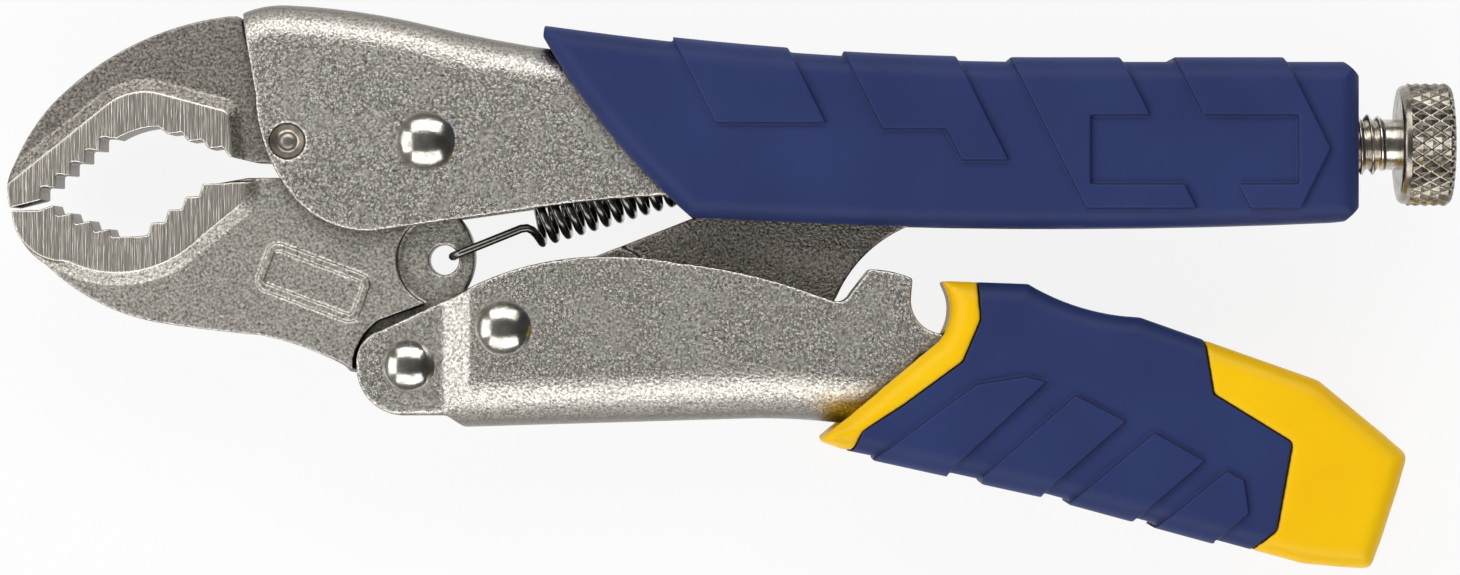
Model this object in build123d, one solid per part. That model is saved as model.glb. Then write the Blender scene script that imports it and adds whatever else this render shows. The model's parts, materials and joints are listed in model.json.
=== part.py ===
from build123d import *
import math
import os

os.makedirs("parts", exist_ok=True)

# Locking pliers with curved jaws, lying flat: X runs along the fixed handle to the screw, Z is the thickness.
# Millimetres. Outlines are drawn about the main pivot; the whole tool is moved to its own frame at the end.

# Driving dimensions: thicknesses across the tool
jaw_thickness = 9.0
tooth_band_thickness = 11.2
jaw_tail_thickness = 6.0
link_thickness = 6.4
link_boss_thickness = 9.3
release_plate_thickness = 5.0
handle_sheet = 2.5
lever_sheet = 2.3
upper_grip_thickness = 20.4
lower_grip_thickness = 20.6
pad_height = 0.6

# Driving dimensions: clearances
side_play = 0.2
ear_play = 0.15
running_clearance = 0.05
jaw_gap = 0.6
swing_clearance = 0.35

# Driving dimensions: pivots and bores
lever_pivot = (-2.3, -29.0)
link_pivot = (10.0, -24.1)
screw_axis_y = -0.3
link_end = (72.5, screw_axis_y)
spring_eye = (2.2, -15.3)
release_pivot = (64.8, -29.4)
fixed_pin_place = (-17.8, 0.0)
anchor_place = (47.0, -0.6)
main_rivet_radius = 2.9
lever_rivet_radius = 2.4
link_rivet_radius = 2.6
release_pin_radius = 2.0
fixed_pin_radius = 2.3
fixed_pin_recess = 0.4
anchor_radius = 1.2
spring_eye_radius = 1.95
main_dome = (3.85, 1.7)
lever_dome = (3.4, 1.6)
link_dome = (3.65, 1.7)

# Driving dimensions: rounds and lugs
pivot_lug_radius = 8.5
tail_radius = 5.5
ear_radius = 6.7
ear_drop = 6.4
ear_neck = 5.8
eye_step_radius = 6.1
handle_bend = 4.5
handle_inner_bend = 2.0
lever_bend = 6.6
lever_inner_bend = 4.2
grip_edge = 2.7
band_bevel = 1.6
bevel_land = 0.02

# Driving dimensions: adjusting screw and spring
screw_diameter = 7.94
screw_pitch = 1.411
thread_depth = 0.8
screw_tip_gap = 2.5
knob_diameter = 16.0
knob_length = 7.1
knob_start = 126.0
neck_radius = 3.3
neck_length = 1.6
nut_length = 14.5
handle_tail = 118.5
grip_tail = 120.2
spring_wire = 1.1
spring_outer = 6.8
spring_pitch = 1.755
spring_turns = 14
spring_slope = 17.0
release_travel = 3.0

# Half thicknesses worked out from the values above
jaw_half = jaw_thickness / 2
band_half = tooth_band_thickness / 2
tail_half = jaw_tail_thickness / 2
link_half = link_thickness / 2
boss_half = link_boss_thickness / 2
handle_inner = jaw_half + side_play
handle_outer = handle_inner + handle_sheet
ear_inner = tail_half + ear_play
ear_outer = ear_inner + lever_sheet
lever_inner = boss_half + side_play
lever_outer = lever_inner + lever_sheet
upper_grip_half = upper_grip_thickness / 2
lower_grip_half = lower_grip_thickness / 2
release_half = release_plate_thickness / 2
screw_radius = screw_diameter / 2
reach = 200.0


def path(start, *moves):
    """Edges in a row. A point is a straight run to it, a pair of points is an arc through the first,
    and a point in brackets of its own is an arc that carries on smoothly from the run before."""
    edges = []
    here = start
    for move in moves:
        end = move[-1] if isinstance(move[0], tuple) else move
        if end == here:
            continue
        if end is move:
            edges.append(Line(here, end))
        elif len(move) == 2:
            edges.append(ThreePointArc(here, move[0], end))
        else:
            edges.append(TangentArc(here, end, tangent=edges[-1] % 1))
        here = end
    return edges


def outline(start, *moves):
    """A closed face within such a path."""
    return make_face(path(start, *moves, start))


def slab(face, half):
    """A plate of a flat outline, the same on both sides of the mid-plane."""
    return extrude(face, amount=half, both=True)


def disc(place, radius, half):
    return Pos(place[0], place[1], 0) * Cylinder(radius, 2 * half)


def polar(centre, radius, degrees):
    angle = math.radians(degrees)
    return (centre[0] + radius * math.cos(angle), centre[1] + radius * math.sin(angle))


def rims(body, half, keep=lambda edge: True):
    """Edges of a plate in its two outer faces."""
    return [e for e in body.edges() if abs(abs(e.center().Z) - half) < 0.001 and keep(e)]


def strip(profile):
    """A bar along Y whose section across the tool, given for one side as (x, half), is mirrored."""
    below = [(x, -half) for x, half in reversed(profile)]
    section = make_face(Polyline(*profile, *below, close=True))
    return extrude(Plane.XZ * section, amount=reach, both=True)


def steps(start, first, second, count):
    """Teeth: a row of points that repeats two runs."""
    points = []
    x, y = start
    for _ in range(count):
        for run in (first, second):
            x, y = x + run[0], y + run[1]
            points.append((x, y))
    return points


def domed_rivet(place, shank_radius, seat_half, dome):
    """A shank through the stack with a low dome on each outer face."""
    dome_radius, dome_height = dome
    ball = (dome_radius ** 2 + dome_height ** 2) / (2 * dome_height)
    body = disc(place, shank_radius, seat_half)
    for side in (1, -1):
        cap = Pos(place[0], place[1], side * (seat_half + dome_height - ball)) * Sphere(ball)
        seat = Pos(place[0], place[1], side * (seat_half + reach / 2)) * Box(reach, reach, reach)
        body += cap & seat
    return body


# Fixed handle: the outline of the pressed channel
handle_front_top = (-23.8, 16.7)
handle_crown = (-18.1, 17.7)
handle_waist = (0.2, 15.1)
handle_back = (35.3, 10.3)
handle_tail_top = (handle_tail, 7.6)
handle_tail_bottom = (handle_tail, -8.1)


def handle_outline():
    return outline(
        handle_tail_top, handle_back, (handle_waist,), (handle_crown,), (handle_front_top,), (-21.9, 6.0),
        ((-20.1, -2.2), (-16.4, -7.9)), ((-12.1, -10.7), (-6.9, -11.6)), (14.4, -8.6),
        ((22.5, -7.6), (31.1, -7.0)), handle_tail_bottom)


def back_edge(e):
    """Keeps the edges along the back of the channel, above the main pivot."""
    return e.center().Y > 5.0 and e.length > 3.0 and abs(e.tangent_at(0.5).X) > 0.7


def handle_hollow():
    """The inside of the channel, open below and at both ends."""
    hollow = slab(Pos(0, -handle_sheet) * handle_outline(), handle_inner)
    return fillet(rims(hollow, handle_inner, back_edge), handle_inner_bend)


def fixed_handle():
    body = handle_envelope() - handle_hollow()
    body -= disc((0, 0), main_rivet_radius, handle_outer)
    body -= disc(fixed_pin_place, fixed_pin_radius, handle_outer)
    body -= disc(anchor_place, anchor_radius, handle_outer)
    return body


def handle_envelope():
    """The channel as one closed bar; the grip that sits on it is cut by this."""
    body = slab(handle_outline(), handle_outer)
    return fillet(rims(body, handle_outer, back_edge), handle_bend)


# Jaws: the tooth rows are worked out first, then each jaw's body and its thicker ground tooth band
fixed_tip = (-53.7, -8.6)
fixed_nose = (-54.1, -6.0)
fixed_brow = (-53.3, -3.0)
fixed_front_teeth = [(-49.7, -7.6)] + steps((-49.7, -7.6), (0.0, 1.72), (1.92, -0.12), 5)
fixed_rear_teeth = [(-33.3, 0.9)] + steps((-33.3, 0.9), (1.7, 0.25), (0.95, -1.2), 3)
movable_tip = (-53.5, -8.95)
movable_front_teeth = [(-49.9, -8.85), (-48.1, -8.2)] + steps((-48.1, -8.2), (0.45, -1.42), (1.95, 0.4), 3)
movable_rear_teeth = [(-35.9, -12.1)] + steps((-35.9, -12.1), (0.45, 1.62), (1.75, 0.05), 4)


def bevelled_band(face, border):
    """A tooth band with a bevel where it rises from the jaw's side; border is its inner edge."""
    band = slab(face, band_half)
    height = band_half - jaw_half - bevel_land
    on_border = lambda e: min(b.distance_to(Vertex(e.center().X, e.center().Y, 0)) for b in border) < 0.01
    return chamfer(rims(band, band_half, on_border), height, band_bevel)


def fixed_jaw():
    clear = pivot_lug_radius + jaw_gap
    shank_top = 12.4
    body = outline(
        fixed_tip, (fixed_nose, fixed_brow), ((-51.5, 0.6), (-48.6, 4.6)),
        ((-38.5, 12.2), (-25.5, 16.2)), (-24.3, 16.2), (-23.78, 15.7), (-23.16, shank_top), (-5.6, shank_top),
        polar((0, 0), clear, 124), (polar((0, 0), clear, 162), polar((0, 0), clear, 200)),
        (-22.1, -2.7), *reversed(fixed_rear_teeth), (-34.6, 1.9), ((-37.6, 1.35), (-40.1, 0.2)),
        *reversed(fixed_front_teeth))
    band_end = (-23.4, -2.4)
    border = path(fixed_brow, (-42.2, 5.9), ((-34.6, 7.8),), (-25.9, 5.5), ((-23.95, 3.4),), band_end)
    teeth = [band_end] + list(reversed(fixed_rear_teeth)) + [(-34.6, 1.9)]
    edge = [Polyline(*teeth), ThreePointArc((-34.6, 1.9), (-37.6, 1.35), (-40.1, 0.2)),
            Polyline((-40.1, 0.2), *reversed(fixed_front_teeth), fixed_tip),
            ThreePointArc(fixed_tip, fixed_nose, fixed_brow)]
    jaw = slab(body, jaw_half) + bevelled_band(make_face(border + edge), border)
    return jaw - disc(fixed_pin_place, fixed_pin_radius, jaw_half)


def movable_jaw():
    ear_gap = ear_radius + swing_clearance
    step_out = polar(lever_pivot, ear_gap, 186)
    step_up = polar(lever_pivot, ear_gap, 122)
    eye_low = polar(spring_eye, eye_step_radius, 247)
    eye_high = polar(spring_eye, eye_step_radius, 118)
    thick = outline(
        movable_tip, ((-52.6, -12.3), (-49.2, -15.9)), ((-42.0, -21.0), (-34.7, -23.4)),
        ((-28.3, -24.3), (-21.5, -25.0)), ((-15.0, -26.9), step_out),
        (polar(lever_pivot, ear_gap, 154), step_up), eye_low,
        (polar(spring_eye, eye_step_radius, 180), eye_high), polar((0, 0), pivot_lug_radius, 300),
        (polar((0, 0), pivot_lug_radius, 60), polar((0, 0), pivot_lug_radius, 213)),
        (-23.1, -4.7), *reversed(movable_rear_teeth), ((-38.3, -12.3), (-40.6, -12.3)),
        *reversed(movable_front_teeth))
    band_start = (-50.2, -14.6)
    band_end = (-21.7, -5.05)
    border = path(band_start, ((-45.2, -17.6), (-39.5, -18.5)), ((-31.2, -16.0),), (-23.4, -9.7), (band_end,))
    edge = [Polyline(band_end, *reversed(movable_rear_teeth)),
            ThreePointArc(movable_rear_teeth[0], (-38.3, -12.3), (-40.6, -12.3)),
            Polyline((-40.6, -12.3), *reversed(movable_front_teeth), movable_tip),
            ThreePointArc(movable_tip, (-52.7, -12.0), band_start)]
    lug_top = (3.9, -9.6)
    seam = 1.0
    thin = outline(
        (-9.0, -20.0), (-4.0, -9.0), lug_top, ((6.2, -14.7), (5.0, -19.0)),
        polar(lever_pivot, tail_radius, 10),
        (polar(lever_pivot, tail_radius, 270), polar(lever_pivot, tail_radius, 190)),
        polar(lever_pivot, ear_gap + seam, 186))
    jaw = slab(thick, jaw_half) + slab(thin, tail_half)
    jaw += bevelled_band(make_face(border + edge), border)
    jaw -= disc((0, 0), main_rivet_radius + running_clearance, jaw_half)
    jaw -= disc(lever_pivot, lever_rivet_radius + running_clearance, jaw_half)
    jaw -= disc(spring_eye, spring_eye_radius, jaw_half)
    return jaw + plain_frame()


def plain_frame():
    """The raised rectangular frame on each side of the movable jaw, left empty."""
    frame_centre = (-14.6, -18.2)
    frame_turn = -20.5
    width, height, corner, rim, rise, root = 14.0, 6.4, 1.4, 0.9, 0.35, 0.1
    ring = RectangleRounded(width, height, corner)
    ring -= RectangleRounded(width - 2 * rim, height - 2 * rim, corner - rim)
    inside = Box(reach, reach, jaw_thickness - 2 * root)
    return Pos(*frame_centre) * Rot(0, 0, frame_turn) * slab(ring, jaw_half + rise) - inside


# Lower lever: a channel that opens upwards, with joggled ears at its front and an open tail under the grip
lever_tail_round = 4.6
joggle = (2.2, 5.7)
web_start = 2.6
web_end = 57.0
back_drop = 2.0
tab_place = (60.0, -16.6)
tab_width = 7.0


def lever_outline(grow=0.0, below=0.0):
    """The side view of the lever; below lowers its back where a bar with a round back trims it."""
    tail = lever_tail_round
    ear_foot = (lever_pivot[0], lever_pivot[1] - ear_drop)
    face = outline(
        ear_foot, (web_start, ear_foot[1]), (7.4, -36.9 - below), (41.0, -35.9 - below),
        (50.0, -36.1 - below), (56.0, -36.8 - below), (58.0, -37.2), polar(release_pivot, tail, -70),
        (polar(release_pivot, tail, 0), polar(release_pivot, tail, 60)), (66.4, -24.8),
        ((63.5, -23.2), (62.6, -20.0)), (62.8, -17.7), ((60.0, -16.8), (57.2, -16.5)), (54.8, -19.6),
        ((53.7, -20.6), (52.4, -20.5)), (50.1, -19.7), ((41.8, -17.2), (32.7, -15.7)),
        ((23.5, -14.8), (15.3, -15.6)), ((9.5, -17.2), (4.3, -19.6)), polar(lever_pivot, ear_neck, 127),
        (polar(lever_pivot, ear_radius, 155), polar(lever_pivot, ear_radius, 180)),
        (polar(lever_pivot, ear_radius, 222), ear_foot))
    return offset(face, amount=grow, kind=Kind.INTERSECTION) if grow else face


def lever_bar(half, lift, bend):
    """A long bar with the round back of the lever, raised by lift."""
    face = outline((-40.0, -38.3), (41.0, -35.9), ((80.0, -44.2),), (80.0, 10.0), (-40.0, 10.0))
    bar = slab(Pos(0, lift) * face, half)
    return fillet(rims(bar, half, lambda e: e.center().Y < -30.0 and abs(e.tangent_at(0.5).X) > 0.7), bend)


def joggled(front_half, rear_half):
    """The room between two planes that step outwards at the joggle."""
    return strip([(-reach, front_half), (joggle[0], front_half), (joggle[1], rear_half), (reach, rear_half)])


def lower_lever():
    tail_height = 30.0
    shell = slab(lever_outline(below=back_drop), lever_outer) & lever_bar(lever_outer, 0.0, lever_bend)
    shell &= joggled(ear_outer, lever_outer)
    inside = joggled(ear_inner, lever_inner)
    trough = lever_bar(lever_inner, lever_sheet, lever_inner_bend)
    front = Pos(web_start - reach / 2, lever_pivot[1], 0) * Box(reach, reach, 2 * lever_outer)
    tail_middle = release_pivot[1] - tail_height / 3
    tail = Pos(web_end + reach / 2, tail_middle, 0) * Box(reach, tail_height, 2 * lever_inner)
    tab = Pos(*tab_place) * Box(tab_width, 2 * lever_sheet, 2 * lever_outer)
    body = shell - ((trough + front + tail) & inside - tab)
    for place, radius in ((lever_pivot, lever_rivet_radius), (link_pivot, link_rivet_radius),
                          (release_pivot, release_pin_radius)):
        body -= disc(place, radius, lever_outer)
    return body


# Toggle link between the lever and the tip of the screw
link_front_round = 4.3
link_rear_round = 4.0
stop_boss = (23.2, -20.4)
stop_boss_radius = 7.0
stop_boss_drop = 0.1


def toggle_link():
    face = outline(
        polar(link_pivot, link_front_round, 110), (35.4, -9.5), (50.0, -8.8),
        polar(link_end, link_rear_round, 113),
        (polar(link_end, link_rear_round, 20), polar(link_end, link_rear_round, -65)), (62.2, -11.0),
        ((56.6, -14.8), (53.0, -20.2)), ((48.6, -24.3), (42.0, -26.0)),
        polar(link_pivot, link_front_round, -84),
        (polar(link_pivot, link_front_round, 193), polar(link_pivot, link_front_round, 110)))
    link = slab(face, link_half) + disc(link_pivot, link_front_round, boss_half)
    link += disc(stop_boss, stop_boss_radius, boss_half - stop_boss_drop) & slab(face, boss_half)
    return link - disc(link_pivot, link_rivet_radius + running_clearance, boss_half)


# Screw group at the tail of the fixed handle
screw_tip = link_end[0] + link_rear_round + screw_tip_gap
nut_middle = handle_tail - nut_length / 2


def along_x(radius, start, end):
    return Pos((start + end) / 2, screw_axis_y, 0) * Rot(0, 90, 0) * Cylinder(radius, end - start)


def screw_nut():
    """A block that fills the tail of the channel, with a plain bore that clears the thread."""
    lift = 0.6
    bottom = handle_tail_bottom[1] + lift
    top = handle_tail_top[1]
    block = Pos(nut_middle, (top + bottom) / 2, 0) * Box(nut_length, top - bottom, 2 * handle_outer)
    return (block & handle_hollow()) - along_x(screw_radius + running_clearance, 0, reach)


def adjusting_screw():
    """The shank turned with one groove for each thread pitch."""
    root = screw_radius - thread_depth
    length = knob_start - neck_length - screw_tip
    threads = int(length / screw_pitch)
    crest_start, crest_end = 0.42, 0.58
    profile = [(screw_tip, 0.0), (screw_tip, root)]
    for i in range(threads):
        for share, radius in ((crest_start, screw_radius), (crest_end, screw_radius), (1.0, root)):
            profile.append((screw_tip + (i + share) * screw_pitch, radius))
    profile += [(knob_start - neck_length, neck_radius), (knob_start, neck_radius), (knob_start, 0.0)]
    face = make_face(Polyline(*profile, close=True))
    return Pos(0, screw_axis_y, 0) * revolve(face, Axis.X)


def screw_knob():
    """The head: a plain ring with a bevel, then the knurled barrel with rounded edges."""
    radius = knob_diameter / 2
    end = knob_start + knob_length
    ring, groove, bevel, dish = 1.1, 0.25, 0.8, 0.4
    ring_start = knob_start + bevel - groove
    profile = Polyline(
        (knob_start, 0.0), (knob_start, radius - bevel), (ring_start, radius - groove),
        (knob_start + ring, radius - groove), (knob_start + ring + groove, radius),
        (end - bevel, radius), (end - dish / 2, radius - bevel), (end - dish, radius - 2 * bevel),
        (end - dish, 0.0), close=True)
    return Pos(0, screw_axis_y, 0) * revolve(make_face(profile), Axis.X)


# Return spring: one wire, hooked in the eye of the movable jaw and round the anchor pin
hook_slope = 22.0
hook_depth = 1.8
hook_bend = 1.6
hook_reach = 9.6
eye_play = 0.2
coil_start = (12.79, 1.24)
end_offset = 1.0
end_lead = 2.6
end_tail = 1.6


def biarc(p0, t0, p1, t1):
    """Two arcs that leave p0 along t0 and reach p1 along t1, smooth where they meet."""
    across, turn = p1 - p0, t0 + t1
    a = turn.dot(turn) - 4.0
    b = -2.0 * across.dot(turn)
    c = across.dot(across)
    d = -c / b if abs(a) < 1e-9 else (-b - math.sqrt(b * b - 4 * a * c)) / (2 * a)
    if d < 0:
        d = (-b + math.sqrt(b * b - 4 * a * c)) / (2 * a)
    middle = (p0 + t0 * d + p1 - t1 * d) / 2
    return [TangentArc(p0, middle, tangent=t0), TangentArc(p1, middle, tangent=t1 * -1)]


def spring_stations():
    """Places and directions along the wire, from the eye of the jaw to the anchor pin."""
    slope = math.radians(spring_slope)
    along = Vector(math.cos(slope), math.sin(slope), 0)
    up = Vector(-math.sin(slope), math.cos(slope), 0)
    near = Vector(0, 0, 1)
    mean = (spring_outer - spring_wire) / 2
    hook = Vector(1, 0, 0).rotate(Axis.Z, hook_slope)
    foot = Vector(spring_eye[0], spring_eye[1], 0) + hook * (spring_eye_radius - spring_wire / 2 - eye_play)
    rise = tail_half + spring_wire
    stations = [(foot - near * hook_depth, near), (foot + near * (rise - hook_bend), near),
                (foot + hook * hook_bend + near * rise, hook),
                (foot + hook * hook_reach + near * spring_outer / 2, hook)]
    coil = Vector(spring_eye[0], spring_eye[1], 0) + along * coil_start[0] + up * coil_start[1]
    lead = spring_pitch / (2 * math.pi)
    for quarter in range(1, 4 * spring_turns + 1):
        turned = quarter * math.pi / 2
        radial = near * math.cos(turned) - up * math.sin(turned)
        sweep_way = near * -math.sin(turned) - up * math.cos(turned)
        place = coil + along * (lead * (turned - math.pi / 2)) + radial * mean
        stations.append((place, (sweep_way * mean + along * lead).normalized()))
    pin = Vector(anchor_place[0], anchor_place[1], 0)
    bend = anchor_radius + spring_wire / 2 + running_clearance
    below = pin - up * bend + near * end_offset
    above = pin + up * bend + near * end_offset
    stations += [(below - along * end_lead, along), (below, along), (above, along * -1),
                 (above - along * end_tail, along * -1)]
    return stations


def return_spring():
    stations = spring_stations()
    edges = []
    for (p0, t0), (p1, t1) in zip(stations, stations[1:]):
        straight = (p1 - p0).normalized()
        if (straight - t0).length < 1e-6 and (straight - t1).length < 1e-6:
            edges.append(Line(p0, p1))
        else:
            edges += biarc(p0, t0, p1, t1)
    route = Wire(edges)
    report_self_gap(route)
    start, heading = stations[0]
    return sweep(Plane(origin=start, z_dir=heading) * Circle(spring_wire / 2), path=route)


def report_self_gap(route):
    """Prints the least gap between turns of the wire, measured on points along its route."""
    count = 900
    points = [route.position_at(i / count) for i in range(count + 1)]
    spacing = route.length / count
    skip = int(3.0 * spring_wire / spacing)
    least = min((points[i] - points[j]).length for i in range(count + 1) for j in range(i + skip, count + 1))
    print("spring length", round(route.length, 2), "least gap to itself", round(least - spring_wire, 3))


# Upper grip: a soft sleeve over the fixed handle with raised slanted pads. The second has a longer rear foot, and
# the last two run down round a plain rectangular field, the last to a tip that points to the tail.
first_pad = 31.25
pad_pitch = 21.05
pad_width = 14.2
pad_feet = (2.3, 1.5, -8.7, -8.7)
pad_tips = (2.3, 1.5, -8.7, -1.0)
rear_foot = (-2.5, 6.0)
field_centre = (98.85, -1.15)
field_size = (26.7, 8.9)
pad_lean = 0.5
pad_top = 14.5
grip_top = 10.2
nose_fall = 7.7
link_slot_end = 82.0
screw_hole_play = 0.45


def upper_grip_outline(grow):
    """The back falls from the nose and runs out level; the front edge is slanted and bows a little."""
    tail = grip_tail + grow
    top = grip_top + grow
    level = (80.0, top)
    crown = (20.0, top + (level[0] - 20.0) * math.tan(math.radians(nose_fall / 2)))
    nose_x = 14.3 - grow
    nose = (nose_x, crown[1] + (crown[0] - nose_x) * math.tan(math.radians(nose_fall)))
    return outline(
        nose, crown, (level,), (tail, top), (tail, -10.3 - grow),
        ((77.3, -11.2 - grow), (34.3 - grow, -9.8 - grow)), ((22.6 - grow, 2.4), nose))


def grip_corners():
    """The cut corners at both ends of the upper grip."""
    tail = grip_tail
    return slab(outline((16.1, 20.0), (tail - 7.0, 15.0), (tail, 8.4), (tail, -8.6), (tail - 5.6, -14.0),
                        (20.0, -14.0), (15.2, 13.4)), reach)


def raised_pad(corners, face, half):
    """A pad that stands proud of a grip: cut to the grown outline of the grip, and rounded along it."""
    pad = slab(make_face(Polyline(*corners, close=True)) & face, half)
    rim = face.wire()
    on_rim = lambda e: rim.distance_to(Vertex(e.center().X, e.center().Y, 0)) < 0.01
    return fillet(rims(pad, half, on_rim), grip_edge + pad_height)


def slanted_pad(right, width, foot, tip):
    """A pad of the upper grip: a leaning strip that ends level at its foot. Below its tip, the right side turns back."""
    corners = [(right - width, pad_top), (right, pad_top), (right + pad_lean * (pad_top - tip), tip)]
    if tip > foot:
        corners.append((right + pad_lean * (pad_top - 2 * tip + foot), foot))
    corners.append((right - width + pad_lean * (pad_top - foot), foot))
    return raised_pad(corners, upper_grip_outline(pad_height), upper_grip_half + pad_height)


def upper_grip():
    body = slab(upper_grip_outline(0.0), upper_grip_half)
    body = fillet(rims(body, upper_grip_half), grip_edge) & grip_corners()
    field = slab(Pos(*field_centre) * Rectangle(*field_size), reach)
    for i, (foot, tip) in enumerate(zip(pad_feet, pad_tips)):
        body += slanted_pad(first_pad + i * pad_pitch + pad_width, pad_width, foot, tip) - field
    body += slanted_pad(first_pad + pad_pitch + pad_width, rear_foot[1], rear_foot[0], rear_foot[0])
    body -= handle_envelope()
    body -= Pos(link_slot_end / 2, -reach / 2, 0) * Box(link_slot_end, reach, 2 * handle_inner)
    return body - along_x(screw_radius + screw_hole_play, nut_middle, reach)


# Rear lever: steel release plate, hard core with collar and end, and the soft cover over it
def release_lever():
    pin_round = 3.9
    face = outline(
        polar(release_pivot, pin_round, 75), (52.6, -22.9), (50.8, -25.4),
        polar(release_pivot, pin_round, 190),
        (polar(release_pivot, pin_round, 235), polar(release_pivot, pin_round, 270)), (78.0, -38.6),
        (112.0, -47.6), (114.6, -40.4), (82.0, -28.2))
    bore = disc(release_pivot, release_pin_radius + running_clearance, release_half)
    return slab(face, release_half) - bore


def lower_grip_outline(grow=0.0):
    face = outline(
        (50.6, -38.6), (65.0, -26.6), ((67.6, -22.4), (66.4, -18.0)), (77.6, -18.4),
        ((84.0, -21.3), (92.0, -22.7)), (115.0, -30.8), (126.6, -40.4), (121.8, -55.2), (113.0, -54.4),
        (79.9, -45.4), (54.8, -39.9))
    return offset(face, amount=grow, kind=Kind.INTERSECTION) if grow else face


cover_wall = 2.2
cover_outline = (
    (71.0, -17.0), (71.5, -23.0), (69.2, -28.4), (61.7, -33.9), (53.6, -40.0), (53.6, -60.0), (103.0, -56.0),
    (106.3, -52.5), (109.4, -50.0), (111.4, -38.8), (101.3, -32.6), (100.2, -26.0), (100.2, -17.0))
lower_pads = (
    ((70.9, -31.3), (77.2, -30.3), (79.8, -31.0), (67.6, -42.3), (66.8, -44.0), (57.6, -44.0), (57.6, -41.0)),
    ((83.6, -32.7), (90.0, -36.0), (79.6, -45.2), (78.6, -48.0), (71.6, -47.0), (71.6, -43.2)),
    ((93.7, -37.5), (100.1, -41.1), (91.2, -48.8), (90.2, -51.0), (82.8, -50.0), (82.8, -46.6)),
    ((103.0, -42.4), (105.2, -43.6), (105.8, -47.8), (101.6, -51.4), (101.0, -54.0), (93.8, -53.0),
     (93.8, -49.8)))


def lever_room():
    """What the tail of the lower lever needs inside the grip over the whole release travel."""
    half = lever_outer + swing_clearance
    room = Part()
    for share in (0.0, 0.5, 1.0):
        turned = Rot(0, 0, share * release_travel)
        pin = Pos(*release_pivot)
        room += pin * turned * pin.inverse() * slab(lever_outline(swing_clearance), half)
    return room


def lower_grip():
    """The core and the cover, cut from one rounded body along the moulded border."""
    whole = slab(lower_grip_outline(), lower_grip_half)
    whole = fillet(rims(whole, lower_grip_half), grip_edge)
    cover_zone = slab(make_face(Polyline(*cover_outline, close=True)), reach)
    inner = offset(lower_grip_outline(), amount=-cover_wall, kind=Kind.INTERSECTION)
    inner = slab(inner, lower_grip_half - cover_wall)
    cover = whole & cover_zone
    for corners in lower_pads:
        cover += raised_pad(corners, lower_grip_outline(pad_height), lower_grip_half + pad_height)
    cover -= inner
    core = whole - (cover_zone - inner)
    pin_room = disc(release_pivot, release_pin_radius + side_play, release_half)
    room = lever_room() + release_lever() + pin_room
    return core - room, cover - room


# All pieces by name
core, cover = lower_grip()
pieces = {
    "fixed_handle": fixed_handle(),
    "fixed_jaw": fixed_jaw(),
    "fixed_jaw_pin": disc(fixed_pin_place, fixed_pin_radius, handle_outer - fixed_pin_recess),
    "main_rivet": domed_rivet((0, 0), main_rivet_radius, handle_outer, main_dome),
    "movable_jaw": movable_jaw(),
    "lower_lever": lower_lever(),
    "lever_rivet": domed_rivet(lever_pivot, lever_rivet_radius, ear_outer, lever_dome),
    "link_rivet": domed_rivet(link_pivot, link_rivet_radius, lever_outer, link_dome),
    "toggle_link": toggle_link(),
    "return_spring": return_spring(),
    "spring_anchor_pin": disc(anchor_place, anchor_radius, handle_outer),
    "screw_nut": screw_nut(),
    "adjusting_screw": adjusting_screw(),
    "screw_knob": screw_knob(),
    "upper_grip": upper_grip(),
    "release_lever": release_lever(),
    "release_pin": disc(release_pivot, release_pin_radius, lever_outer),
    "lower_grip_core": core,
    "lower_grip_cover": cover,
}

# The tool's own frame: origin under the middle of its box, lying on the pads
box = Compound(children=[Compound(p.wrapped) for p in pieces.values()]).bounding_box()
shift = Pos(-(box.min.X + box.max.X) / 2, -(box.min.Y + box.max.Y) / 2, -box.min.Z)
for name, piece in pieces.items():
    export_step(shift * piece, "parts/" + name + ".step")
pivots = {"main": (0, 0), "lever": lever_pivot, "link": link_pivot, "release": release_pivot,
          "screw": (knob_start, screw_axis_y), "spring eye": spring_eye}
for name, place in pivots.items():
    print("pivot", name, [round(v, 3) for v in (shift * Pos(*place)).position])
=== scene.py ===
import json
import math

import bmesh
import bpy
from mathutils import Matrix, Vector


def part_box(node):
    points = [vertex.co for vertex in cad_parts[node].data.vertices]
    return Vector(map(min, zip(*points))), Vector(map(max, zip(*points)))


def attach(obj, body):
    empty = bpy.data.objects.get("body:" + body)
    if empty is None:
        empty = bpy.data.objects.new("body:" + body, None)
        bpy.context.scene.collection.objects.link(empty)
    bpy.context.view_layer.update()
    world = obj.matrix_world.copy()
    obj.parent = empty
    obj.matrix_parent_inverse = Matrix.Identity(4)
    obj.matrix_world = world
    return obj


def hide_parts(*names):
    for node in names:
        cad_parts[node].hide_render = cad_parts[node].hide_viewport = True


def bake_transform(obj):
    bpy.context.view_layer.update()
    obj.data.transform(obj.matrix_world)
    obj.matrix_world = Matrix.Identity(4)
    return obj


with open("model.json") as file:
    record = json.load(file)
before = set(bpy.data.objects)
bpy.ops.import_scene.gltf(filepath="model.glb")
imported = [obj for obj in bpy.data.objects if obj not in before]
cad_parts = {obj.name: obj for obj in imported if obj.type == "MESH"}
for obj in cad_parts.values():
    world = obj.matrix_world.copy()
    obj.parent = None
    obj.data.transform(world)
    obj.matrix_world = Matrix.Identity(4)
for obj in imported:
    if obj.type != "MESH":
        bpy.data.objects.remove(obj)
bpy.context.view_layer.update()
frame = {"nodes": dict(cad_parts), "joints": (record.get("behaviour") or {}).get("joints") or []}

mm = 0.001

# Fixed handle: a channel pressed from steel sheet, blasted with grit and nickel plated. It carries the
# fixed jaw at its front, the main rivet, and the nut of the adjusting screw in its tail.
mid_plane = sum(corner.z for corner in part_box("fixed_handle")) / 2
grit_size = 0.36 * mm


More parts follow.
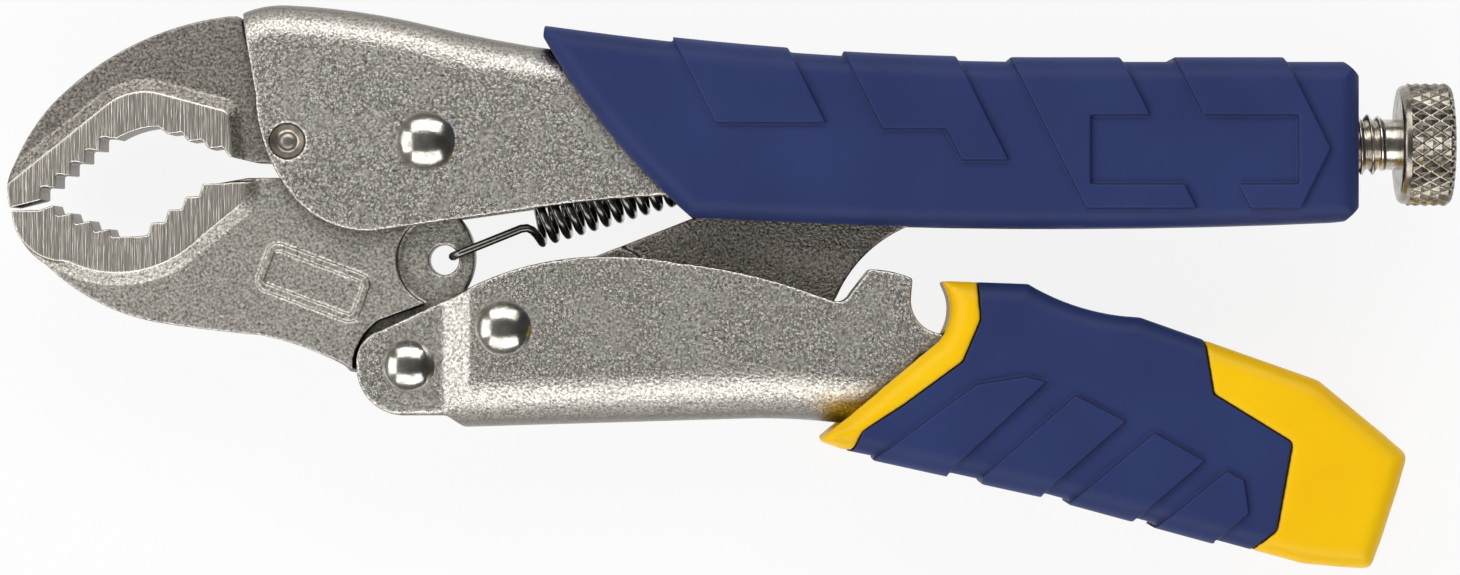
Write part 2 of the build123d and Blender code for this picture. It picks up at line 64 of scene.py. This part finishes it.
def linear(hex_colour):
    """Linear colour of an sRGB hex value."""
    parts = [int(hex_colour[i:i + 2], 16) / 255 for i in (1, 3, 5)]
    return [p / 12.92 if p <= 0.04045 else ((p + 0.055) / 1.055) ** 2.4 for p in parts] + [1.0]


def add(tree, kind, sockets, **settings):
    """Adds a node, sets its properties, sets or links its inputs, and gives its outputs."""
    made = tree.nodes.new("ShaderNode" + kind)
    for name, value in settings.items():
        setattr(made, name, value)
    for name, value in sockets.items():
        if isinstance(value, bpy.types.NodeSocket):
            tree.links.new(value, made.inputs[name])
        else:
            made.inputs[name].default_value = value
    return made.outputs


def new_material(name):
    """An empty material and its node tree."""
    made = bpy.data.materials.new(name)
    made.use_nodes = True
    made.node_tree.nodes.clear()
    return made, made.node_tree


def painted_corner_shade(tree, colour, reach, deep, kept):
    """A colour with painted shade in corners, where little light reaches, down to a kept share in those this
    deep.
    """
    open_air = 0.92
    light = add(tree, "AmbientOcclusion", {"Distance": reach}, samples=8)["AO"]
    unshaded_share = add(tree, "MapRange", {"Value": light, "From Min": deep, "From Max": open_air, "To Min": kept,
                                   "To Max": 1.0})["Result"]
    return add(tree, "Mix", {0: unshaded_share, 6: linear("#000000"), 7: colour}, data_type="RGBA")[2]


def wall_shade_share(tree):
    """How far the painted shade of the walls covers the skin: not on the flat sides of the tool, more on its
    bends.
    """
    flat_lean = 0.84
    wall_lean = 0.48
    most = 0.8
    # Painted shade: the steeper the face, the darker it is drawn, in place of the dark it would reflect.
    lean = add(tree, "SeparateXYZ", {"Vector": add(tree, "NewGeometry", {})["Normal"]})["Z"]
    lean = add(tree, "Math", {0: lean}, operation="ABSOLUTE")[0]
    return add(tree, "MapRange", {"Value": lean, "From Min": flat_lean, "From Max": wall_lean,
                                  "To Max": most})["Result"]


def plated_sheet(name, valley, peak, wall_shade, roughness):
    """Steel sheet, blasted and plated: dents in a random tone, with a painted glint on their rims and painted
    shade in their hollows, under a satin sheen, and painted shade on the walls. Real grit is finer, and is
    drawn as coarse as it needs to show."""
    dent_depth = 0.045 * mm
    sheen_patch = 9 * mm
    sheen_drift = 0.05
    made, tree = new_material(name)
    place = add(tree, "TexCoord", {})["Object"]
    grit = add(tree, "TexNoise", {"Vector": place, "Scale": 1 / grit_size, "Detail": 3.0,
                                  "Roughness": 0.65})["Fac"]
    dent = add(tree, "MapRange", {"Value": grit, "From Min": 0.32, "From Max": 0.68})["Result"]
    # Grit tone: random, but lighter on the dents' rims and darker in their hollows: painted glint and painted
    # shade.
    colour = add(tree, "Mix", {0: dent, 6: linear(valley), 7: linear(peak)}, data_type="RGBA")[2]
    # Painted shade on the steep walls and bends.
    colour = add(tree, "Mix", {0: wall_shade_share(tree), 6: colour, 7: linear(wall_shade)}, data_type="RGBA")[2]
    # Painted shade in the corners.
    colour = painted_corner_shade(tree, colour, reach=1.5 * mm, deep=0.2, kept=0.35)
    cloud = add(tree, "TexNoise", {"Vector": place, "Scale": 1 / sheen_patch, "Detail": 2.0})["Fac"]
    sheen = add(tree, "MapRange", {"Value": cloud, "To Min": roughness - sheen_drift,
                                   "To Max": roughness + sheen_drift})["Result"]
    normal = add(tree, "Bump", {"Height": dent, "Distance": dent_depth, "Strength": 1.0})["Normal"]
    shader = add(tree, "BsdfPrincipled", {"Base Color": colour, "Metallic": 1.0, "Roughness": sheen,
                                          "Normal": normal})
    add(tree, "OutputMaterial", {"Surface": shader["BSDF"]})
    return made


def rounded(node, cell_mm, passes, corners=()):
    """The solid's mesh with soft edges: meshed again in small cells, relaxed and thinned out. Upright corners
    at the given places (x, y in mm) are relaxed for longer, so that their outline is rounded too."""
    corner_reach = 3.5 * mm
    corner_passes = 60
    pull = 0.5
    kept_share = 0.15
    work = bpy.data.objects.new(node + "_work", frame["nodes"][node].data.copy())
    bpy.context.scene.collection.objects.link(work)
    cells = work.modifiers.new("cells", "REMESH")
    cells.mode = "VOXEL"
    cells.voxel_size = cell_mm * mm
    relax = work.modifiers.new("relax", "SMOOTH")
    relax.factor = pull
    relax.iterations = passes
    bm = bmesh.new()
    bm.from_object(work, bpy.context.evaluated_depsgraph_get())
    for corner in corners:
        near = [v for v in bm.verts if (v.co.xy - Vector(corner) * mm).length < corner_reach]
        for i in range(corner_passes):
            bmesh.ops.smooth_vert(bm, verts=near, factor=pull, use_axis_x=True, use_axis_y=True)
    work.modifiers.clear()
    bm.to_mesh(work.data)
    bm.clear()
    fewer = work.modifiers.new("fewer", "DECIMATE")
    fewer.ratio = kept_share
    bm.from_object(work, bpy.context.evaluated_depsgraph_get())
    bpy.data.objects.remove(work)
    return bm


def mesh_piece(name, bm, material, body, slot, *nodes):
    """Makes a piece of the tool from a finished mesh, in place of the named solids. A piece given no body is
    left unattached."""
    sharp_angle = math.radians(50)
    mesh = bpy.data.meshes.new(name)
    bm.to_mesh(mesh)
    bm.free()
    piece = bpy.data.objects.new(name, mesh)
    bpy.context.scene.collection.objects.link(piece)
    mesh.materials.append(material)
    mesh.shade_smooth()
    mesh.set_sharp_from_angle(angle=sharp_angle)
    even = piece.modifiers.new("flat_faces_stay_flat", "WEIGHTED_NORMAL")
    even.keep_sharp = True
    if body:
        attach(piece, body)
    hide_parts(*nodes)
    return piece


sheet_steel = plated_sheet("nickel_plated_pressed_steel", valley="#7b756b", peak="#fffaf1", wall_shade="#5f5a51",
                           roughness=0.27)
mesh_piece("handle_channel", rounded("fixed_handle", cell_mm=0.22, passes=8), sheet_steel, "root",
           "pressed_steel", "fixed_handle")

# Fixed jaw: a steel forging held in the mouth of the handle by a flush pin. Its outer faces are blasted and
# plated like the handle, and the band that carries the teeth is ground bright.
band_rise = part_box("fixed_jaw")[1].z - mid_plane


def forged_steel(name, valley, peak, slant):
    """Forged steel: a fine blasted skin, and on the raised tooth bands the parallel lines of a grinding wheel,
    at a slant in degrees. Real grit and lines are finer, and are drawn as coarse as they need to show."""
    line_size = (0.22 * mm, 7 * mm, 2 * mm)
    relief_depth = 0.04 * mm
    made, tree = new_material(name)
    place = add(tree, "TexCoord", {})["Object"]
    grit = add(tree, "TexNoise", {"Vector": place, "Scale": 1 / grit_size, "Detail": 3.0,
                                  "Roughness": 0.65})["Fac"]
    skin = add(tree, "MapRange", {"Value": grit, "From Min": 0.3, "From Max": 0.7})["Result"]
    # Skin tone: random, but darker in the grit's dents and lighter on their rims: painted shade and painted
    # glint.
    skin_tone = add(tree, "Mix", {0: skin, 6: linear(valley), 7: linear(peak)}, data_type="RGBA")[2]
    along = add(tree, "Mapping", {"Vector": place, "Rotation": (0, 0, math.radians(slant)),
                                  "Scale": [1 / size for size in line_size]})["Vector"]
    wheel = add(tree, "TexNoise", {"Vector": along, "Scale": 1.0, "Detail": 2.0, "Roughness": 0.7})["Fac"]
    line = add(tree, "MapRange", {"Value": wheel, "From Min": 0.3, "From Max": 0.7})["Result"]
    line_tone = add(tree, "Mix", {0: line, 6: linear("#cdc6ba"), 7: linear("#f2ece1")}, data_type="RGBA")[2]
    height = add(tree, "SeparateXYZ", {"Vector": place})["Z"]
    rise = add(tree, "Math", {0: height, 1: mid_plane}, operation="SUBTRACT")[0]
    rise = add(tree, "Math", {0: rise}, operation="ABSOLUTE")[0]
    on_band = add(tree, "MapRange", {"Value": rise, "From Min": band_rise - 0.12 * mm,
                                     "From Max": band_rise - 0.04 * mm})["Result"]
    colour = add(tree, "Mix", {0: on_band, 6: skin_tone, 7: line_tone}, data_type="RGBA")[2]
    # Painted shade on the steep walls and bends.
    colour = add(tree, "Mix", {0: wall_shade_share(tree), 6: colour, 7: linear("#6a6359")}, data_type="RGBA")[2]
    # Painted shade in the corners.
    colour = painted_corner_shade(tree, colour, reach=1.5 * mm, deep=0.2, kept=0.35)
    relief = add(tree, "Mix", {0: on_band, 2: skin, 3: line})[0]
    dull = add(tree, "MapRange", {"Value": on_band, "To Min": 0.4, "To Max": 0.34})["Result"]
    normal = add(tree, "Bump", {"Height": relief, "Distance": relief_depth, "Strength": 1.0})["Normal"]
    shader = add(tree, "BsdfPrincipled", {"Base Color": colour, "Metallic": 1.0, "Roughness": dull,
                                          "Normal": normal})
    add(tree, "OutputMaterial", {"Surface": shader["BSDF"]})
    return made


fixed_jaw_steel = forged_steel("forged_steel_fixed_jaw", valley="#4c463f", peak="#cdc7bc", slant=-14)
mesh_piece("fixed_jaw_forging", rounded("fixed_jaw", cell_mm=0.16, passes=6), fixed_jaw_steel, "root",
           "forged_steel", "fixed_jaw")

# Movable jaw: the second forging, which swings on the main rivet. Its tail is thinner, so that the lever's
# ears fit over it, and it has the eye for the return spring and a raised frame on each side.
corner_below_ear = (-49.3, -11.1)
movable_jaw_steel = forged_steel("forged_steel_movable_jaw", valley="#706b61", peak="#f4efe5", slant=-6)
movable_jaw_mesh = rounded("movable_jaw", cell_mm=0.16, passes=6, corners=[corner_below_ear])
mesh_piece("movable_jaw_forging", movable_jaw_mesh, movable_jaw_steel, "jaw", "forged_steel", "movable_jaw")

# Lower lever: a second channel pressed from the same plated sheet as the handle. The joggled ears at its
# front are riveted over the tail of the movable jaw, and its tail ends inside the rear grip.
mesh_piece("lever_channel", rounded("lower_lever", cell_mm=0.22, passes=8), sheet_steel, "lever",
           "pressed_steel", "lower_lever")

# Toggle link: a stamped steel arm between the lever and the tip of the screw, riveted between the lever's
# sides. Its skin is blasted too, but darker and duller than the plated sheet.
link_steel = plated_sheet("stamped_link_steel", valley="#423e38", peak="#c2baae", wall_shade="#4a453e",
                          roughness=0.36)
mesh_piece("toggle_link_arm", rounded("toggle_link", cell_mm=0.22, passes=6), link_steel, "link",
           "link_steel", "toggle_link")

# Rivets and pins: turned steel. The three pivots are headed to polished domes, the pin of the fixed jaw is
# upset to a dish below the face of the handle, and the two pins inside are plain.
pin_low, pin_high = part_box("fixed_jaw_pin")
pin_centre = (pin_low + pin_high) / 2
pin_radius = (pin_high.x - pin_low.x) / 2
pin_half = (pin_high.z - pin_low.z) / 2
pin_sides = 40
dish_depth = 0.9 * mm
dish_floor = 1.15 * mm
dish_lip = 0.2 * mm
dish_curve = 1.6
dish_steps = 5
nib = ((0.3 * mm, 0.25 * mm), (0.8 * mm, 0.2 * mm))
lip_round = ((0.05 * mm, 0.02 * mm), (0.0, 0.1 * mm))


def polished_steel(name, dark, light, roughness):
    """Steel that was headed or turned: bright and smooth, with a faint mottle where the tool bore on it."""
    mottle_size = 1.6 * mm
    mottle_depth = 0.02 * mm
    mottle_dullness = 0.06
    made, tree = new_material(name)
    place = add(tree, "TexCoord", {})["Object"]
    mottle = add(tree, "TexNoise", {"Vector": place, "Scale": 1 / mottle_size, "Detail": 3.0})["Fac"]
    patch = add(tree, "MapRange", {"Value": mottle, "From Min": 0.3, "From Max": 0.7})["Result"]
    colour = add(tree, "Mix", {0: patch, 6: linear(dark), 7: linear(light)}, data_type="RGBA")[2]
    dull = add(tree, "MapRange", {"Value": patch, "To Min": roughness + mottle_dullness,
                                  "To Max": roughness})["Result"]
    normal = add(tree, "Bump", {"Height": patch, "Distance": mottle_depth, "Strength": 1.0})["Normal"]
    shader = add(tree, "BsdfPrincipled", {"Base Color": colour, "Metallic": 1.0, "Roughness": dull,
                                          "Normal": normal})
    add(tree, "OutputMaterial", {"Surface": shader["BSDF"]})
    return made


def dress(node, material):
    """Gives a solid that shows as it is its material."""
    materials = frame["nodes"][node].data.materials
    materials.clear()
    materials.append(material)


def full_turn(sides):
    """Angles round a full turn in equal steps."""
    return [2 * math.pi * k / sides for k in range(sides)]


def skinned(rings):
    """A closed mesh over rings of places that turn right-handed about the way they follow each other."""
    bm = bmesh.new()
    rows = [[bm.verts.new(place) for place in ring] for ring in rings]
    for row, after in zip(rows, rows[1:]):
        for k in range(len(row)):
            bm.faces.new((row[k - 1], row[k], after[k], after[k - 1]))
    bm.faces.new(reversed(rows[0]))
    bm.faces.new(rows[-1])
    return bm


def pin_ring(radius, height):
    """A ring about the axis of the jaw pin, at a height from its middle."""
    return [pin_centre + Vector((radius * math.cos(a), radius * math.sin(a), height))
            for a in full_turn(pin_sides)]


def dished_end():
    """Radius and height of the pin's end, from its middle outwards: a low nib, the dish and a rounded lip."""
    end = [(radius, pin_half - dish_depth + height) for radius, height in nib]
    end.append((dish_floor, pin_half - dish_depth))
    for i in range(1, dish_steps + 1):
        share = i / dish_steps
        radius = dish_floor + (pin_radius - dish_lip - dish_floor) * share
        end.append((radius, pin_half - dish_depth * (1 - share ** dish_curve)))
    return end + [(pin_radius - inset, pin_half - drop) for inset, drop in lip_round]


rivet_steel = polished_steel("polished_rivet_steel", dark="#a39d93", light="#e4dfd6", roughness=0.16)
pin_steel = polished_steel("flush_pin_steel", dark="#8a8378", light="#cfc8bc", roughness=0.3)
lower_rings = [pin_ring(radius, -height) for radius, height in dished_end()]
upper_rings = [pin_ring(radius, height) for radius, height in reversed(dished_end())]
mesh_piece("upset_jaw_pin", skinned(lower_rings + upper_rings), pin_steel, "root", "rivet_steel",
           "fixed_jaw_pin")
for node in ("main_rivet", "lever_rivet", "link_rivet"):
    dress(node, rivet_steel)
for node in ("spring_anchor_pin", "release_pin"):
    dress(node, pin_steel)

# Return spring: black oiled music wire, wound close, hooked in the eye of the movable jaw and round a pin
# inside the handle. It stretches between the two as the jaw swings.
wire_radius = 0.55 * mm
wire_sides = 12
bend_steps = 6
spring_mean = 2.85 * mm
spring_pitch = 1.755 * mm
spring_turns = 14
spring_slope = math.radians(17)
coil_start = (12.79 * mm, 1.24 * mm)
hook_slope = math.radians(22)
hook_foot = 1.2 * mm
hook_depth = 1.8 * mm
hook_bend = 1.6 * mm
hook_rise = 4.1 * mm
hook_reach = 9.6 * mm
end_bend = 1.8 * mm
end_offset = 1.0 * mm
end_lead = 2.6 * mm
end_tail = 1.6 * mm
eye_from_pivot = Vector((2.2, -15.3, 0)) * mm
pivots = {joint["name"]: Vector(joint["pos_m"]) for joint in frame["joints"] if "pos_m" in joint}
eye = pivots["jaw_pivot"] + eye_from_pivot
anchor = sum(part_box("spring_anchor_pin"), Vector()) / 2


def spring_stations():
    """Places and headings along the wire, from the eye to the anchor pin."""
    along = Vector((math.cos(spring_slope), math.sin(spring_slope), 0))
    up = Vector((-math.sin(spring_slope), math.cos(spring_slope), 0))
    near = Vector((0, 0, 1))
    hook = Vector((math.cos(hook_slope), math.sin(hook_slope), 0))
    foot = eye + hook * hook_foot
    stations = [(foot - near * hook_depth, near), (foot + near * (hook_rise - hook_bend), near),
                (foot + hook * hook_bend + near * hook_rise, hook),
                (foot + hook * hook_reach + near * (spring_mean + wire_radius), hook)]
    coil = eye + along * coil_start[0] + up * coil_start[1]
    lead = spring_pitch / (2 * math.pi)
    for quarter in range(1, 4 * spring_turns + 1):
        angle = quarter * math.pi / 2
        radial = near * math.cos(angle) - up * math.sin(angle)
        sweep = near * -math.sin(angle) - up * math.cos(angle)
        place = coil + along * lead * (angle - math.pi / 2) + radial * spring_mean
        stations.append((place, (sweep * spring_mean + along * lead).normalized()))
    below = anchor - up * end_bend + near * end_offset
    above = anchor + up * end_bend + near * end_offset
    stations += [(below - along * end_lead, along), (below, along), (above, along * -1),
                 (above - along * end_tail, along * -1)]
    return stations


def smooth_path(stations, steps):
    """Points on a smooth curve that passes the stations along their headings, round in its bends."""
    least_turn = 0.01
    points = []
    for (p0, t0), (p1, t1) in zip(stations, stations[1:]):
        turn = t0.angle(t1)
        share = 1 / 3
        if turn > least_turn:
            share = 4 / 3 * math.tan(turn / 4) / (2 * math.sin(turn / 2))
        pull = (p1 - p0).length * share
        a, b = p0 + t0 * pull, p1 - t1 * pull
        for i in range(steps):
            s = i / steps
            r = 1 - s
            points.append(p0 * r ** 3 + a * 3 * s * r ** 2 + b * 3 * s ** 2 * r + p1 * s ** 3)
    return points + [stations[-1][0]]


def tube(points, radius, sides):
    """A closed tube along points, with rings that don't twist."""
    heading = (points[1] - points[0]).normalized()
    side = heading.orthogonal().normalized()
    rings = []
    for i, point in enumerate(points):
        ahead = points[min(i + 1, len(points) - 1)] - points[max(i - 1, 0)]
        side = (heading.rotation_difference(ahead) @ side).normalized()
        heading = ahead.normalized()
        other = heading.cross(side)
        rings.append([point + (side * math.cos(a) + other * math.sin(a)) * radius for a in full_turn(sides)])
    return skinned(rings)


def oiled_wire(name):
    """Spring steel blackened in oil: a dark smooth skin with a wet shine and faint drawing marks."""
    mark_size = 0.5 * mm
    made, tree = new_material(name)
    place = add(tree, "TexCoord", {})["Object"]
    marks = add(tree, "TexNoise", {"Vector": place, "Scale": 1 / mark_size, "Detail": 2.0})["Fac"]
    colour = add(tree, "Mix", {0: marks, 6: linear("#5a5855"), 7: linear("#8b8884")}, data_type="RGBA")[2]
    dull = add(tree, "MapRange", {"Value": marks, "To Min": 0.16, "To Max": 0.26})["Result"]
    shader = add(tree, "BsdfPrincipled", {"Base Color": colour, "Metallic": 1.0, "Roughness": dull,
                                          "Coat Weight": 0.6, "Coat Roughness": 0.12})
    add(tree, "OutputMaterial", {"Surface": shader["BSDF"]})
    return made


spring_route = smooth_path(spring_stations(), bend_steps)
spring = mesh_piece("return_spring_wire", tube(spring_route, wire_radius, wire_sides),
                    oiled_wire("black_oiled_music_wire"), None, "spring_steel", "return_spring")
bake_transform(spring)

# Adjusting screw: turned steel, threaded and plated, in the tail of the handle. Its nut is a plain steel
# block that fills the end of the channel.
screw_low, screw_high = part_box("adjusting_screw")
knob_low, knob_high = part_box("screw_knob")
screw_axis = (knob_low + knob_high) / 2
screw_length = screw_high.x - screw_low.x
thread_pitch = 1.411 * mm
thread_depth = 0.8 * mm
flank_slope = 1.25
crest_share = 0.15
neck_length = 1.6 * mm
neck_radius = 3.3 * mm
screw_sides = 56
steps_per_pitch = 14


def even_steps(low, high, count):
    """Places from one end to the other in equal steps."""
    return [low + (high - low) * i / count for i in range(count + 1)]


def turned(stations, sides, radius_at):
    """A closed mesh about the screw axis, with a radius for each place along it and angle round it."""
    rings = []
    for x in stations:
        ring = []
        for angle in full_turn(sides):
            radius = radius_at(x, angle)
            across = (radius * math.cos(angle), radius * math.sin(angle))
            ring.append((x, screw_axis.y + across[0], screw_axis.z + across[1]))
        rings.append(ring)
    return skinned(rings)


def thread_radius(x, angle):
    """A right-hand thread with flat crests, that runs out into the plain neck."""
    crest = (screw_high.y - screw_low.y) / 2
    neck_start = screw_high.x - neck_length
    if x > neck_start:
        return neck_radius
    phase = ((x - screw_low.x) / thread_pitch - angle / (2 * math.pi)) % 1.0
    flank = min(1.0, max(0.0, abs(2 * phase - 1) * flank_slope - crest_share))
    runout = min(1.0, (neck_start - x) / thread_pitch)
    return crest - thread_depth * flank * runout - (crest - neck_radius) * (1 - runout)


screw_steel = polished_steel("plated_screw_steel", dark="#a59f93", light="#ece6da", roughness=0.2)
screw_stations = even_steps(screw_low.x, screw_high.x, int(screw_length / thread_pitch * steps_per_pitch))
mesh_piece("adjusting_screw_thread", turned(screw_stations, screw_sides, thread_radius), screw_steel, "screw",
           "screw_steel", "adjusting_screw")
dress("screw_nut", screw_steel)

# Knob: the head of the screw, turned from the same bar, with a plain ring towards the handle and a barrel
# that is rolled with a diamond knurl.
knurl_around = 32
knurl_length = 2.4 * mm
knurl_depth = 0.42 * mm
sides_per_diamond = 10
knob_steps = 72
ring_length = 1.2 * mm
ring_inset = 0.3 * mm
knob_round = 0.8 * mm


def wave(t):
    """Runs from 0 up to 1 and back over each whole step."""
    return 1 - abs(2 * (t % 1.0) - 1)


def knob_radius(x, angle):
    """A plain ring, then pyramids where two sets of slanted grooves cross, with both ends rounded."""
    barrel = (knob_high.y - knob_low.y) / 2
    from_front = x - knob_low.x
    edge = min(from_front, knob_high.x - x)
    rounding = knob_round - math.sqrt(max(0.0, knob_round ** 2 - max(0.0, knob_round - edge) ** 2))
    if from_front < ring_length:
        return barrel - ring_inset - rounding
    step = from_front / knurl_length
    turn = knurl_around * angle / (2 * math.pi)
    pyramid = min(wave(step + turn), wave(step - turn))
    return barrel - rounding - knurl_depth * (1 - pyramid)


knob_steel = polished_steel("knurled_knob_steel", dark="#756f64", light="#b2ab9e", roughness=0.24)
knob_stations = even_steps(knob_low.x, knob_high.x, knob_steps)
mesh_piece("knurled_knob", turned(knob_stations, knurl_around * sides_per_diamond, knob_radius), knob_steel,
           "knob", "screw_steel", "screw_knob")

# Upper grip: a soft sleeve of navy blue elastomer, moulded over the fixed handle, with raised slanted pads on
# its sides and back.


def moulded(name, dark, light, grain_mm, height_mm, roughness):
    """A moulded polymer: an even colour with slow drifts, and the fine texture of the mould, which breaks up
    its soft gloss."""
    drift_size = 14 * mm
    gloss_drift = 0.08
    made, tree = new_material(name)
    place = add(tree, "TexCoord", {})["Object"]
    drift = add(tree, "TexNoise", {"Vector": place, "Scale": 1 / drift_size, "Detail": 3.0})["Fac"]
    grain = add(tree, "TexNoise", {"Vector": place, "Scale": 1 / (grain_mm * mm), "Detail": 2.0})["Fac"]
    tone = add(tree, "MapRange", {"Value": drift, "From Min": 0.3, "From Max": 0.7})["Result"]
    colour = add(tree, "Mix", {0: tone, 6: linear(dark), 7: linear(light)}, data_type="RGBA")[2]
    # Painted shade in the corners, the seams and at the foot of the pads' steps.
    colour = painted_corner_shade(tree, colour, reach=1.0 * mm, deep=0.5, kept=0.12)
    dull = add(tree, "MapRange", {"Value": grain, "To Min": roughness - gloss_drift,
                                  "To Max": roughness + gloss_drift})["Result"]
    normal = add(tree, "Bump", {"Height": grain, "Distance": height_mm * mm, "Strength": 1.0})["Normal"]
    shader = add(tree, "BsdfPrincipled", {"Base Color": colour, "Roughness": dull, "Normal": normal,
                                          "Specular IOR Level": 0.25})
    add(tree, "OutputMaterial", {"Surface": shader["BSDF"]})
    return made


grip_rubber = moulded("navy_blue_elastomer", dark="#253161", light="#2b386b", grain_mm=0.5, height_mm=0.02,
                      roughness=0.55)
mesh_piece("upper_grip_sleeve", rounded("upper_grip", cell_mm=0.17, passes=5), grip_rubber, "root",
           "blue_grip", "upper_grip")

# Release lever and rear grip: a steel plate on a pin in the lever's tail, in a core moulded from hard yellow
# polypropylene, with a cover of the blue elastomer moulded round its middle.
end_corners = ((87.2, -21.7), (82.4, -36.5))
dress("release_lever", link_steel)
core_plastic = moulded("yellow_polypropylene", dark="#fac300", light="#ffcd02", grain_mm=0.6, height_mm=0.01,
                       roughness=0.42)
core_mesh = rounded("lower_grip_core", cell_mm=0.26, passes=24, corners=end_corners)
mesh_piece("lower_grip_yellow", core_mesh, core_plastic, "release", "yellow_grip", "lower_grip_core")
mesh_piece("lower_grip_blue", rounded("lower_grip_cover", cell_mm=0.15, passes=7), grip_rubber, "release",
           "blue_grip", "lower_grip_cover")

# Studio: a floor of white paper, three soft boxes at the top, the bottom and the left, and a dim room above
# that is darker to the right. The paper glows a little for the camera and in the metal, and keeps its shadow.
floor_half = 3.0
floor_corners = [(x * floor_half, y * floor_half, 0) for x, y in ((-1, -1), (1, -1), (1, 1), (-1, 1))]
paper_glow = 0.88
box_height = 0.46
floor_mesh = bpy.data.meshes.new("floor")
floor_mesh.from_pydata(floor_corners, [], [(0, 1, 2, 3)])
floor = bpy.data.objects.new("floor", floor_mesh)
bpy.context.scene.collection.objects.link(floor)
floor_paper, tree = new_material("white_paper")
path = add(tree, "LightPath", {})
seen = add(tree, "Math", {0: path["Is Camera Ray"], 1: path["Is Glossy Ray"]}, operation="MAXIMUM")[0]
seen = add(tree, "Math", {0: seen, 1: path["Is Transmission Ray"]}, operation="MAXIMUM")[0]
share = add(tree, "Math", {0: seen, 1: paper_glow}, operation="MULTIPLY")[0]
paper = add(tree, "BsdfDiffuse", {"Color": linear("#f2f2f2")})["BSDF"]
glow = add(tree, "Emission", {"Color": linear("#ffffff"), "Strength": 1.0})["Emission"]
mixed = add(tree, "MixShader", {0: share, 1: paper, 2: glow})["Shader"]
add(tree, "OutputMaterial", {"Surface": mixed})
floor_mesh.materials.append(floor_paper)


def soft_box(name, place, width, radiance):
    """A rectangular lamp that faces the tool."""
    lamp = bpy.data.lights.new(name, "AREA")
    lamp.shape = "RECTANGLE"
    lamp.size = width
    lamp.size_y = box_height
    lamp.energy = radiance * math.pi * width * box_height
    box = bpy.data.objects.new(name, lamp)
    bpy.context.scene.collection.objects.link(box)
    box.location = place
    box.rotation_euler = (-Vector(place)).to_track_quat("-Z", "Y").to_euler()


soft_box("soft_box_top", place=(0.0, 0.56, 0.5), width=1.2, radiance=2.5)
soft_box("soft_box_bottom", place=(0.0, -0.56, 0.5), width=1.2, radiance=2.4)
soft_box("soft_box_left", place=(-0.72, 0.0, 0.46), width=0.7, radiance=2.3)

room = bpy.data.worlds.new("dim_room")
bpy.context.scene.world = room
room.use_nodes = True
tree = room.node_tree
tree.nodes.clear()
aside = add(tree, "SeparateXYZ", {"Vector": add(tree, "TexCoord", {})["Generated"]})["X"]
away = add(tree, "MapRange", {"Value": aside, "From Min": -0.7, "From Max": 0.7})["Result"]
dusk = add(tree, "Mix", {0: away, 6: linear("#7c7c7c"), 7: linear("#444444")}, data_type="RGBA")[2]
back = add(tree, "Background", {"Color": dusk, "Strength": 1.0})["Background"]
add(tree, "OutputWorld", {"Surface": back})

# Camera: straight above the tool with a long lens, framed as the picture is. The size of a picture's pixel is
# that on the tool's mid-plane.
picture_pixels = 1460
pixel_size = 0.130 * mm
camera_height = 775 * mm
camera_aside = (-0.148 * mm, -0.116 * mm)
lens_data = bpy.data.cameras.new("camera")
lens_data.sensor_width = 36.0
lens_data.lens = lens_data.sensor_width * camera_height / (picture_pixels * pixel_size)
lens_data.clip_end = 10.0
camera = bpy.data.objects.new("camera", lens_data)
bpy.context.scene.collection.objects.link(camera)
camera.location = (*camera_aside, mid_plane + camera_height)
bpy.context.scene.camera = camera
bpy.context.scene.view_settings.view_transform = "Standard"
